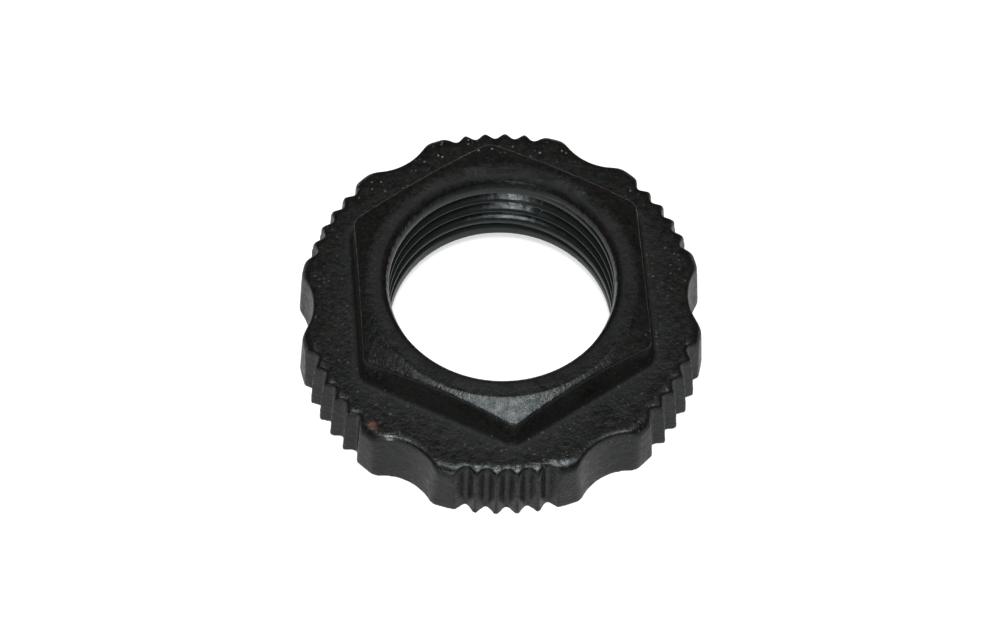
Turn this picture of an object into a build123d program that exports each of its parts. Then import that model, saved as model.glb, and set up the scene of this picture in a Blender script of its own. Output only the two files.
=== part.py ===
"""Knurled thumb nut: one casting, bored through, with a hexagon standing on a gripped flange.

Frame: millimetres, +Z up along the thread's axis, origin at the centre of the flat underside.
The middle group of grip grooves faces -Y.
"""
from build123d import *
import math
import os

# Driving dimensions
rim_radius = 16.9            # over the grip's teeth and shoulders, at the underside
rim_draft = 3.0              # degrees that the rim leans in towards the top
flange_height = 5.75         # underside to the flange's top face
top_edge_round = 0.85        # between the rim and the flange's top face
body_height = 9.3            # underside to the top face of the hexagon

grip_groups = 6              # groups of grooves, with a finger recess between each two
grooves_per_group = 5
groove_pitch = 5.87          # degrees between two grooves of a group
groove_opening = 88          # degrees between the two flanks of a groove
groove_root_round = 0.32
groove_depth = 0.67          # below the rim, at the underside
groove_lean = 4.8            # degrees that a groove's floor leans in towards the top

recess_radius = 4.3          # finger recess, as an arc in plan
recess_depth = 1.07          # below the rim, at the underside
recess_draft = 4.5           # degrees that the recess wall leans in towards the top
shoulder_round = 1.4         # convex round where a recess runs out into the rim
turning_allowance = 0.03     # left on the cast wall outside the rim

hex_across_flats = 23.9      # at the hexagon's foot
hex_draft = 5.9              # degrees that its flats lean in
hex_corner_round = 1.3       # upright edges of the hexagon
hex_foot_round = 0.4         # inner corner between the hexagon and the flange
hex_turn = 2.7               # degrees that a corner stands past the middle of a group
crown_inner_radius = 11.15   # where the flat top ends and the chamfer on the corners starts
crown_angle = 18.5           # degrees that this chamfer falls towards the corners

bore_radius = 9.2            # crests of the M20 x 1.5 internal thread
top_lead_in = 0.65           # height of the 45 degree lead-in at the top
bottom_lead_in = 1.1         # height of the 45 degree lead-in at the underside


def moved_in(height, angle):
    """How far a wall that leans in by an angle moves over a height."""
    return height * math.tan(math.radians(angle))


def turned_flange():
    """The flange as turned: a drafted disc with a rounded top edge."""
    corner = rim_radius - moved_in(flange_height, rim_draft)
    round_centre = Vector(
        corner - moved_in(top_edge_round, (90 - rim_draft) / 2),
        flange_height - top_edge_round,
    )

    def on_round(angle):
        return round_centre + Vector(top_edge_round, 0).rotate(Axis.Z, angle)

    with BuildPart() as flange:
        with BuildSketch(Plane.XZ):
            with BuildLine():
                Polyline((0, flange_height), (0, 0), (rim_radius, 0), on_round(rim_draft))
                ThreePointArc(on_round(rim_draft), on_round(45 + rim_draft / 2), on_round(90))
                Line(on_round(90), (0, flange_height))
            make_face()
        revolve(axis=Axis.Z)
    return flange.part


def recessed_blank():
    """The casting's wall before it is turned: finger recesses with rounded shoulders."""
    cast_radius = rim_radius + turning_allowance
    centre = rim_radius - recess_depth + recess_radius
    standing = (Align.CENTER, Align.CENTER, Align.MIN)
    with BuildPart() as blank:
        Cone(
            cast_radius,
            cast_radius - moved_in(flange_height, rim_draft),
            flange_height,
            align=standing,
        )
        with PolarLocations(centre, grip_groups, start_angle=-90 + 180 / grip_groups):
            Cone(
                recess_radius,
                recess_radius + moved_in(flange_height, recess_draft),
                flange_height,
                align=standing,
                mode=Mode.SUBTRACT,
            )
        walls = blank.faces().filter_by(GeomType.CONE)
        level_faces = blank.faces().filter_by(GeomType.PLANE)
        fillet(walls.edges() - level_faces.edges(), shoulder_round)
    return blank.part


def grip_grooves():
    """One V-shaped trough for each groove of the grip, standing on the rim and leaning in."""
    half_opening = math.radians(groove_opening / 2)
    root_end = groove_root_round * Vector(-math.sin(half_opening), math.cos(half_opening))
    flank_end = root_end + 3 * Vector(math.cos(half_opening), math.sin(half_opening))
    with BuildPart() as cutter:
        with BuildSketch():
            with BuildLine():
                Polyline(root_end, flank_end, (flank_end.X, -flank_end.Y), (root_end.X, -root_end.Y))
                ThreePointArc((root_end.X, -root_end.Y), (-groove_root_round, 0), root_end)
            make_face()
        extrude(amount=2 * flange_height, both=True)
    trough = cutter.part.rotate(Axis.Y, -groove_lean)
    root_centre = rim_radius - groove_depth + groove_root_round
    troughs = []
    for group in range(grip_groups):
        for groove in range(grooves_per_group):
            offset = (groove - (grooves_per_group - 1) / 2) * groove_pitch
            angle = -90 + group * 360 / grip_groups + offset
            troughs.append(Rot(0, 0, angle) * Pos(root_centre, 0, 0) * trough)
    return troughs


def hexagon():
    """The drafted hexagon, with the nut chamfer on its corners."""
    reach = hex_across_flats
    with BuildPart() as boss:
        with BuildSketch():
            RegularPolygon(hex_across_flats / 2, 6, major_radius=False, rotation=-90 + hex_turn)
            fillet(vertices(), hex_corner_round)
        extrude(amount=body_height - flange_height, taper=hex_draft)
    boss_part = Pos(0, 0, flange_height) * boss.part
    with BuildPart() as crown:
        with BuildSketch(Plane.XZ):
            with BuildLine():
                Polyline(
                    (0, 0),
                    (0, body_height),
                    (crown_inner_radius, body_height),
                    (reach, body_height - moved_in(reach - crown_inner_radius, crown_angle)),
                    (reach, 0),
                    close=True,
                )
            make_face()
        revolve(axis=Axis.Z)
    return boss_part & crown.part


def bore():
    """The tapped hole, cut to the crests of its thread, with its two lead-ins."""
    with BuildPart() as hole:
        with BuildSketch(Plane.XZ):
            with BuildLine():
                Polyline(
                    (0, 0),
                    (bore_radius + bottom_lead_in, 0),
                    (bore_radius, bottom_lead_in),
                    (bore_radius, body_height - top_lead_in),
                    (bore_radius + top_lead_in, body_height),
                    (0, body_height),
                    close=True,
                )
            make_face()
        revolve(axis=Axis.Z)
    return hole.part


flange = turned_flange() & recessed_blank()
for trough in grip_grooves():
    flange -= trough

body = flange + hexagon()
flange_top = body.faces().filter_by_position(Axis.Z, flange_height, flange_height)[0]
hex_foot = flange_top.inner_wires()[0].edges()
nut = body.fillet(hex_foot_round, hex_foot) - bore()

os.makedirs("parts", exist_ok=True)
export_step(nut, "parts/nut_body.step")
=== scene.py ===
"""A knurled thumb nut lying on its flat face: one black cast ring, tapped through."""
import math

import bmesh
import bpy
from mathutils import Matrix, Vector


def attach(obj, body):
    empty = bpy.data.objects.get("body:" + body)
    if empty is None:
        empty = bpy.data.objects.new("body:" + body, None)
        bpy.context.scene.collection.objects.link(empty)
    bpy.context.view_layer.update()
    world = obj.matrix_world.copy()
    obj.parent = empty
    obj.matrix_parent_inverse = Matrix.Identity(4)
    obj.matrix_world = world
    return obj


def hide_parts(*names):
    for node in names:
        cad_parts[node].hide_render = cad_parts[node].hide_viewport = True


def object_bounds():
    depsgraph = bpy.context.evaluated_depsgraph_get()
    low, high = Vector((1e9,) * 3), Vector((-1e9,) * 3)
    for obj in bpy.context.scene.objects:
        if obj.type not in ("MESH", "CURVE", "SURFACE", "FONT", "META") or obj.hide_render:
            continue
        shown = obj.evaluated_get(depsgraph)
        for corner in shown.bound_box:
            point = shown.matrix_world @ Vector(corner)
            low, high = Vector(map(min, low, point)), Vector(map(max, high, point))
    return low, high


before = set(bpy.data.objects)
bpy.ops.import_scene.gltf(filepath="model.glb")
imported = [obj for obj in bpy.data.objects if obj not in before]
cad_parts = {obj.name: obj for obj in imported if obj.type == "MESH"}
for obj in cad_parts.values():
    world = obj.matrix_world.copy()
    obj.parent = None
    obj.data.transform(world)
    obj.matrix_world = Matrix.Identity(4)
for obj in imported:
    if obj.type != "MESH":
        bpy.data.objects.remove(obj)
cad_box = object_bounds()


# The casting: one piece of metal, a gripped flange with a hexagon standing on it.
# It is cast with its recesses, grooves and hexagon, then bored and turned over the rim.
nut_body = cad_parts["nut_body"]
same_point = 1e-6
casting = bmesh.new()
casting.from_mesh(nut_body.data)
bmesh.ops.remove_doubles(casting, verts=casting.verts, dist=same_point)
nut_mesh = bpy.data.meshes.new("nut_casting")
casting.to_mesh(nut_mesh)
casting.free()
nut = bpy.data.objects.new("nut_casting", nut_mesh)
bpy.context.scene.collection.objects.link(nut)


def finish_step(piece):
    """Makes the piece's modifiers part of its mesh."""
    depsgraph = bpy.context.evaluated_depsgraph_get()
    worked = bpy.data.meshes.new_from_object(piece.evaluated_get(depsgraph))
    piece.modifiers.clear()
    old = piece.data
    piece.data = worked
    bpy.data.meshes.remove(old)


# The thread: a right-handed M20 x 1.5 thread of 60 degrees, cut into the bore by a tap.
# It runs out below, where the tap's lead stopped, and fades under the upper lead-in.
thread_pitch = 0.0015
thread_flank = 30
thread_root_radius = 0.01003
tooth_base_radius = 0.0089
root_flat = 0.00026
root_round = 0.00003
root_round_side = 0.00002
steps_per_turn = 96
turns = 6
lowest_turn = 0.000418
deepest_from, deepest_to = 0.00345, 0.00735
run_out_below, run_out_above = 0.0017, 0.0008
tooth_height, most_drawn_in = 0.0008, 1.2

tap = bmesh.new()
half_root = root_flat / 2
tooth_depth = thread_root_radius - tooth_base_radius
half_base = half_root + tooth_depth * math.tan(math.radians(thread_flank))
tooth = [
    (tooth_base_radius, -half_base),
    (thread_root_radius - root_round, -half_root - root_round_side),
    (thread_root_radius, 0),
    (thread_root_radius - root_round, half_root + root_round_side),
    (tooth_base_radius, half_base),
]
tap.faces.new([tap.verts.new((radius, 0, lowest_turn + height)) for radius, height in tooth])
bmesh.ops.spin(
    tap,
    geom=tap.verts[:] + tap.edges[:] + tap.faces[:],
    cent=(0, 0, 0),
    axis=(0, 0, 1),
    dvec=(0, 0, thread_pitch / steps_per_turn),
    angle=math.radians(360 * turns),
    steps=steps_per_turn * turns,
    use_merge=False,
    use_duplicate=False,
)
bmesh.ops.holes_fill(tap, edges=[edge for edge in tap.edges if edge.is_boundary], sides=0)
bmesh.ops.recalc_face_normals(tap, faces=tap.faces)
for vert in tap.verts:
    below = max(0, deepest_from - vert.co.z) / run_out_below
    above = max(0, vert.co.z - deepest_to) / run_out_above
    outward = Vector((vert.co.x, vert.co.y, 0)).normalized()
    vert.co -= outward * (tooth_height * min(most_drawn_in, below + above))
tap_mesh = bpy.data.meshes.new("tap")
tap.to_mesh(tap_mesh)
tap.free()
tap_tool = bpy.data.objects.new("tap", tap_mesh)
bpy.context.scene.collection.objects.link(tap_tool)
cut = nut.modifiers.new("tapped", "BOOLEAN")
cut.operation = "DIFFERENCE"
cut.solver = "MANIFOLD"
cut.object = tap_tool
finish_step(nut)
bpy.data.objects.remove(tap_tool)


# The skin: sand-cast metal under thick paint, so each edge is soft and no face is flat.
# The paint is thickest over the rim's top edge, where it fills the ends of the grooves.
skin_grain = 0.0001
top_lip_height, top_lip_reach = 0.0091, 0.0102
thread_reach, thread_from, thread_to = 0.0101, 0.0022, 0.0085
lead_in_reach, lead_in_from, lead_in_to = 0.0096, 0.0083, 0.0090
rim_edge_from = 0.0146
rim_edge_bands = [0.0040, 0.0043, 0.0046, 0.0049, 0.0051, 0.0053]

skin = nut.modifiers.new("cast_skin", "REMESH")
skin.mode = "VOXEL"
skin.voxel_size = skin_grain
skin.use_smooth_shade = True
finish_step(nut)
casting = bmesh.new()
casting.from_mesh(nut.data)


def soften(verts, times):
    """Rounds the skin over these points a little more each time."""
    for repeat in range(times):
        bmesh.ops.smooth_vert(
            casting, verts=verts, factor=0.5, use_axis_x=True, use_axis_y=True, use_axis_z=True
        )


def bore_skin(reach, low, high):
    """The skin's points nearer to the axis than a reach, between two heights."""
    return [vert for vert in casting.verts if vert.co.xy.length < reach and low < vert.co.z < high]


def rim_skin(low):
    """The skin's points on the rim above a height."""
    return [vert for vert in casting.verts if vert.co.z > low and vert.co.xy.length > rim_edge_from]


past_top_lip = [
    vert for vert in casting.verts
    if vert.co.z < top_lip_height or vert.co.xy.length > top_lip_reach
]
soften(past_top_lip, 3)
soften(bore_skin(thread_reach, thread_from, thread_to), 4)
soften(bore_skin(lead_in_reach, lead_in_from, lead_in_to), 8)
for band in rim_edge_bands:
    soften(rim_skin(band), 4)


# The hexagon's foot: the inner corner between the leaning flats and the flange's top face.
# It is plain, without a round, and dust lies in it.
foot_height = 0.00575
foot_apothem = 0.01195
foot_near = 0.0115
corner_round = 0.0013
flat_turn = math.radians(2.7)
flat_lean = 0.103
lowest_rise, highest_rise = 0.000002, 0.0005
furthest_in, furthest_out = -0.0001, 0.0005


def past_foot(spot):
    """How far a spot lies outside the hexagon's foot, and the way out from it."""
    turn = math.atan2(spot.y, spot.x) - flat_turn
    flat = round(turn / math.radians(60)) * math.radians(60)
    reach = foot_apothem - corner_round
    away = Vector((math.cos(turn - flat), math.sin(turn - flat))) * spot.xy.length
    side = reach * math.tan(math.radians(30))
    from_round = Vector((max(away.x - reach, 0), max(abs(away.y) - side, 0)))
    way_out = Vector((from_round.x, math.copysign(from_round.y, away.y)))
    way_out.rotate(Matrix.Rotation(flat + flat_turn, 2))
    return from_round.length - corner_round, way_out.normalized()


for vert in casting.verts:
    rise = vert.co.z - foot_height
    if lowest_rise < rise < highest_rise and vert.co.xy.length > foot_near:
        out, way_out = past_foot(vert.co)
        if furthest_in < out < furthest_out:
            if out > rise:
                vert.co.z = foot_height
            else:
                inward = out + flat_lean * rise
                vert.co.x -= way_out.x * inward
                vert.co.y -= way_out.y * inward

# The plain band of the bore under its upper lead-in, above the full thread.
# It is the bored wall, and flares a little where the tap first bit.
bore_radius = 0.0092
flare_from, flare_to, flare_slope = 0.0082, 0.0089, 0.33
for vert in casting.verts:
    reach = vert.co.xy.length
    if flare_from < vert.co.z < flare_to and reach < lead_in_reach:
        flared = bore_radius + flare_slope * (vert.co.z - flare_from)
        if reach < flared:
            vert.co.x *= flared / reach
            vert.co.y *= flared / reach
casting.to_mesh(nut.data)
casting.free()

# The finished skin: smooth all over, with no more triangles than its forms need.
# It keeps the casting's own height between the flat underside and the flat top.
triangles = 171000
thin = nut.modifiers.new("thin", "DECIMATE")
thin.ratio = triangles / (2 * len(nut.data.polygons))
finish_step(nut)
for face in nut.data.polygons:
    face.use_smooth = True
for vert in nut.data.vertices:
    vert.co.z = min(max(vert.co.z, cad_box[0][2]), cad_box[1][2])


# Wear and painted highlights: light spots painted as the glints of chipped paint, one rust spot,
# and matt dust in the foot and on the top lip.
# The painted glints are on the near group's teeth, on the right shoulder beside it and in the left
# recess. The rust is on the left recess's far shoulder.
near_group = -90
groove_turn = 5.87
recess_turn = 30
shoulder_turn = 13
edge_reach = 0.0157
edge_height = 0.0057
near_teeth = (-1.5, -0.5, 0.5, 1.5)
right_shoulder = near_group + recess_turn - shoulder_turn
left_recess = near_group - recess_turn
# Painted highlights: the places where light grey stands in for the glints of chipped paint.
glint_chips = [(near_group + groove_turn * tooth, edge_reach, 0.00035) for tooth in near_teeth]
glint_chips += [
    (right_shoulder, edge_reach + 0.0002, 0.0004),
    (right_shoulder - 3, edge_reach, 0.0003),
    (left_recess - shoulder_turn / 2, edge_reach, 0.0004),
]
glint_chip_lowest, glint_chip_innermost = 0.0054, 0.0128
rust_turn = math.radians(left_recess - shoulder_turn)
rust_spot = Matrix.Rotation(rust_turn, 3, "Z") @ Vector((edge_reach, 0, edge_height))
rust_size = 0.00045
dust_width, dust_height, dust_reach = 0.0007, 0.0065, 0.0112
lip_radius, lip_width = 0.00985, 0.0003


def fading(distance, size, strength):
    """How strong a spot is at a distance from its middle, from 1 down to 0 at its edge."""
    return min(1, max(0, strength - strength * distance / size))


glint_chip_spots = []
for glint_chip_turn, glint_chip_reach, glint_chip_size in glint_chips:
    turn = math.radians(glint_chip_turn)
    glint_chip_spots.append((Vector((math.cos(turn), math.sin(turn))) * glint_chip_reach, glint_chip_size))

# Red holds the painted highlight spots for glints on chipped paint, green the rust, blue the matt
# dust.
wear_and_glints = nut.data.attributes.new("wear_and_glints", "FLOAT_COLOR", "POINT")
for point, spot in zip(wear_and_glints.data, nut.data.vertices):
    reach = spot.co.xy.length
    chip_glint = 0
    if spot.co.z > glint_chip_lowest and reach > glint_chip_innermost:
        chip_glint = max(fading((spot.co.xy - glint_chip).length, size, 1.3) for glint_chip, size in glint_chip_spots)
    rust = fading((spot.co - rust_spot).length, rust_size, 1.7)
    dust = 0
    if reach > dust_reach and spot.co.z < dust_height:
        dust = fading(abs(past_foot(spot.co)[0]), dust_width, 1.6)
    if spot.co.z > top_lip_height and abs(reach - lip_radius) < lip_width:
        dust = 1
    point.color = (chip_glint, rust, dust, 1)

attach(nut, "root")
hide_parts("nut_body")


# The coat: nearly black satin paint over the whole casting, thin enough to show its grain.
# It is browner or greener where it is thin.
mottle_scale = 3000
green_from, black_at, brown_to = 0.34, 0.5, 0.66
coat_specular = 0.3
coat_tint = (0.88, 0.97, 1.0, 1)
coat_green = (0.0006, 0.0026, 0.0032, 1)
coat_black = (0.0048, 0.0046, 0.0036, 1)
coat_brown = (0.0120, 0.0078, 0.0050, 1)

coating = bpy.data.materials.new("black_coating")
coating.use_nodes = True
nodes = coating.node_tree.nodes
links = coating.node_tree.links
shader = nodes["Principled BSDF"]
shader.inputs["Specular IOR Level"].default_value = coat_specular
shader.inputs["Specular Tint"].default_value = coat_tint
place = nodes.new("ShaderNodeTexCoord")
wear_and_glint_reader = nodes.new("ShaderNodeAttribute")
wear_and_glint_reader.attribute_name = "wear_and_glints"
wear_and_glint_parts = nodes.new("ShaderNodeSeparateColor")
links.new(wear_and_glint_reader.outputs["Color"], wear_and_glint_parts.inputs["Color"])
chip_glint_share, rust_share, dust_share = (wear_and_glint_parts.outputs[part] for part in ("Red", "Green", "Blue"))


def between(value, low, high, at_low, at_high):
    """A node that turns one range of a value into another, and stops at its ends."""
    step = nodes.new("ShaderNodeMapRange")
    step.inputs["From Min"].default_value = low
    step.inputs["From Max"].default_value = high
    step.inputs["To Min"].default_value = at_low
    step.inputs["To Max"].default_value = at_high
    links.new(value, step.inputs["Value"])
    return step.outputs["Result"]


def times(one, other):
    """A node that multiplies two values."""
    product = nodes.new("ShaderNodeMath")
    product.operation = "MULTIPLY"
    links.new(one, product.inputs[0])
    links.new(other, product.inputs[1])
    return product.outputs["Value"]


def laid_over(share, under, colour):
    """A node that lays one colour over another by a share."""
    layer = nodes.new("ShaderNodeMix")
    layer.data_type = "RGBA"
    layer.inputs["B"].default_value = colour
    links.new(share, layer.inputs["Factor"])
    links.new(under, layer.inputs["A"])
    return layer.outputs["Result"]


def set_where(share, under, value):
    """A node that moves a value towards a fixed one by a share."""
    change = nodes.new("ShaderNodeMix")
    change.inputs["B"].default_value = value
    links.new(share, change.inputs["Factor"])
    links.new(under, change.inputs["A"])
    return change.outputs["Result"]


def clouds(scale, detail):
    """Soft random clouds of one size all through the metal."""
    cloud = nodes.new("ShaderNodeTexNoise")
    cloud.inputs["Scale"].default_value = scale
    cloud.inputs["Detail"].default_value = detail
    cloud.inputs["Roughness"].default_value = 0.65
    links.new(place.outputs["Object"], cloud.inputs["Vector"])
    return cloud.outputs["Fac"]


coat_colour = nodes.new("ShaderNodeValToRGB")
ramp = coat_colour.color_ramp.elements
ramp[0].position, ramp[0].color = green_from, coat_green
ramp[1].position, ramp[1].color = brown_to, coat_brown
middle = ramp.new(black_at)
middle.color = coat_black
links.new(clouds(mottle_scale, 3), coat_colour.inputs["Fac"])

# The tapped metal: the bore up to its lead-in, greyer and glossier than the coat.
# The tap left it bare and oily.
tapped_colour = (0.0125, 0.0155, 0.0145, 1)
tapped_reach, coat_reach = 0.01000, 0.01012
tapped_height, coat_height = 0.00860, 0.00875
across = nodes.new("ShaderNodeVectorMath")
across.operation = "MULTIPLY"
across.inputs[1].default_value = (1, 1, 0)
links.new(place.outputs["Object"], across.inputs[0])
radius = nodes.new("ShaderNodeVectorMath")
radius.operation = "LENGTH"
links.new(across.outputs["Vector"], radius.inputs[0])
from_axis = radius.outputs["Value"]
upright = nodes.new("ShaderNodeSeparateXYZ")
links.new(place.outputs["Object"], upright.inputs["Vector"])
tapped = times(
    between(from_axis, tapped_reach, coat_reach, 1, 0),
    between(upright.outputs["Z"], tapped_height, coat_height, 1, 0),
)
colour = laid_over(tapped, coat_colour.outputs["Color"], tapped_colour)

# Specks, painted highlights and rust: single grains of the cast skin that have caught dust, most of
# them towards the far side and outside the hexagon, then light spots painted as the glints of
# chipped paint, then brown iron rust.
speck_colour = (0.26, 0.26, 0.25, 1)
# The light grey of the painted glints on chipped paint.
glint_chip_colour = (0.26, 0.28, 0.29, 1)
rust_colour = (0.080, 0.028, 0.017, 1)
speck_scale = 2700
speck_core, speck_edge = 0.12, 0.36
rarest_speck, brightest_speck = 0.70, 1.0
dust_patch_scale = 170
far_side_from, far_side_to = 0.006, 0.012
hexagon_reach, flange_reach = 0.0118, 0.0128
glint_chip_grain_scale = 5200
speck_cells = nodes.new("ShaderNodeTexVoronoi")
speck_cells.inputs["Scale"].default_value = speck_scale
links.new(place.outputs["Object"], speck_cells.inputs["Vector"])
speck_pick = nodes.new("ShaderNodeSeparateColor")
links.new(speck_cells.outputs["Color"], speck_pick.inputs["Color"])
speck = times(
    between(speck_cells.outputs["Distance"], speck_core, speck_edge, 1, 0),
    between(speck_pick.outputs["Red"], rarest_speck, brightest_speck, 0, 1),
)
dusty = times(
    between(clouds(dust_patch_scale, 1), 0.42, 0.56, 0.12, 1),
    between(upright.outputs["Y"], far_side_from, far_side_to, 0.25, 1),
)
outside_hexagon = between(from_axis, hexagon_reach, flange_reach, 0.06, 1)
broken_up = between(clouds(glint_chip_grain_scale, 2), 0.42, 0.60, 0.05, 1)
colour = laid_over(times(times(speck, dusty), outside_hexagon), colour, speck_colour)
# Painted highlight: light grey laid on where the near edges glint over chipped paint.
colour = laid_over(times(chip_glint_share, broken_up), colour, glint_chip_colour)
colour = laid_over(rust_share, colour, rust_colour)
links.new(colour, shader.inputs["Base Color"])

# Gloss: satin in uneven patches outside, glossier in the oily bore.
# The dust in the hexagon's foot and on the top lip is matt.
patch_scale = 1800
satin_from, satin_to = 0.25, 0.43
satin = between(clouds(patch_scale, 2), 0.3, 0.7, satin_from, satin_to)
tapped_roughness = 0.22
matt_roughness = 0.7
gloss = set_where(tapped, satin, tapped_roughness)
links.new(set_where(dust_share, gloss, matt_roughness), shader.inputs["Roughness"])

# Surface: the grain of the moulding sand, fainter in the cut bore, and slow waves over it.
# Both are hundredths of a millimetre deep.
grain_scale, grain_depth = 3600, 0.00004
wave_scale, wave_depth = 900, 0.00004
bore_wall, outer_metal = 0.00985, 0.01025
grain_bump = nodes.new("ShaderNodeBump")
grain_bump.inputs["Distance"].default_value = grain_depth
links.new(clouds(grain_scale, 3), grain_bump.inputs["Height"])
links.new(between(from_axis, bore_wall, outer_metal, 0.2, 1.0), grain_bump.inputs["Strength"])
bump = nodes.new("ShaderNodeBump")
bump.inputs["Distance"].default_value = wave_depth
links.new(clouds(wave_scale, 1), bump.inputs["Height"])
links.new(grain_bump.outputs["Normal"], bump.inputs["Normal"])
links.new(bump.outputs["Normal"], shader.inputs["Normal"])
nut.data.materials.clear()
nut.data.materials.append(coating)


# The floor: a plain painted table top, which shows to the camera as white.
# It lies a hair under the nut, so that the two flat faces don't share one plane.
floor_half_width = 2.0
floor_height = -0.00002
floor_paint = (0.6, 0.6, 0.6, 1)
floor_roughness = 0.9
floor_lift = 0.6
floor_mesh = bpy.data.meshes.new("floor")
floor_build = bmesh.new()
bmesh.ops.create_grid(
    floor_build,
    x_segments=1,
    y_segments=1,
    size=floor_half_width,
    matrix=Matrix.Translation((0, 0, floor_height)),
)
floor_build.to_mesh(floor_mesh)
floor_build.free()
floor = bpy.data.objects.new("floor", floor_mesh)
bpy.context.scene.collection.objects.link(floor)
table = bpy.data.materials.new("white_table")
table.use_nodes = True
nodes = table.node_tree.nodes
links = table.node_tree.links
paint = nodes["Principled BSDF"]
paint.inputs["Base Color"].default_value = floor_paint
paint.inputs["Roughness"].default_value = floor_roughness
paint.inputs["Emission Color"].default_value = (1, 1, 1, 1)
seen = nodes.new("ShaderNodeLightPath")
lift = nodes.new("ShaderNodeMath")
lift.operation = "MULTIPLY"
lift.inputs[1].default_value = floor_lift
links.new(seen.outputs["Is Camera Ray"], lift.inputs[0])
links.new(lift.outputs["Value"], paint.inputs["Emission Strength"])
floor.data.materials.append(table)


# The light: a dim even room, a soft lamp over the table, and two small weak lamps in front
# of it, one high and one low, for the finer highlights.
room_level = 0.10
room_seen = 1.0
world = bpy.data.worlds.new("room")
bpy.context.scene.world = world
world.use_nodes = True
nodes = world.node_tree.nodes
links = world.node_tree.links
room = nodes["Background"]
room.inputs["Color"].default_value = (1, 1, 1, 1)
seen = nodes.new("ShaderNodeLightPath")
level = nodes.new("ShaderNodeMapRange")
level.inputs["To Min"].default_value = room_level
level.inputs["To Max"].default_value = room_seen
links.new(seen.outputs["Is Camera Ray"], level.inputs["Value"])
links.new(level.outputs["Result"], room.inputs["Strength"])


def hang_lamp(name, width, watts, turn, lean, distance):
    """A round lamp that shines at the nut, leaning from upright and turned around the axis."""
    lamp_data = bpy.data.lights.new(name, "AREA")
    lamp_data.shape = "DISK"
    lamp_data.size = width
    lamp_data.energy = watts
    lamp = bpy.data.objects.new(name, lamp_data)
    lamp.matrix_world = (
        Matrix.Rotation(math.radians(turn), 4, "Z")
        @ Matrix.Rotation(math.radians(lean), 4, "X")
        @ Matrix.Translation((0, 0, distance))
    )
    bpy.context.scene.collection.objects.link(lamp)


hang_lamp("soft_lamp", width=0.25, watts=3.3, turn=0, lean=9, distance=0.6)
hang_lamp("small_lamp", width=0.03, watts=0.24, turn=-7, lean=30, distance=0.4)
hang_lamp("low_lamp", width=0.12, watts=0.5, turn=-15, lean=81, distance=0.5)


# The camera stands over the near side and looks down at the nut, with a slight roll.
# Its line of sight passes just above the middle of the underside.
camera_lens = 138.9
camera_turn = -3.32
camera_elevation = 59.83
camera_roll = 1.755
camera_rise = 0.00118
camera_distance = 0.3211
camera_data = bpy.data.cameras.new("camera")
camera_data.lens = camera_lens
camera = bpy.data.objects.new("camera", camera_data)
camera.matrix_world = (
    Matrix.Rotation(math.radians(camera_turn), 4, "Z")
    @ Matrix.Rotation(math.radians(90 - camera_elevation), 4, "X")
    @ Matrix.Rotation(math.radians(camera_roll), 4, "Z")
    @ Matrix.Translation((0, camera_rise, camera_distance))
)
bpy.context.scene.collection.objects.link(camera)
bpy.context.scene.camera = camera
bpy.context.scene.view_settings.view_transform = "Standard"
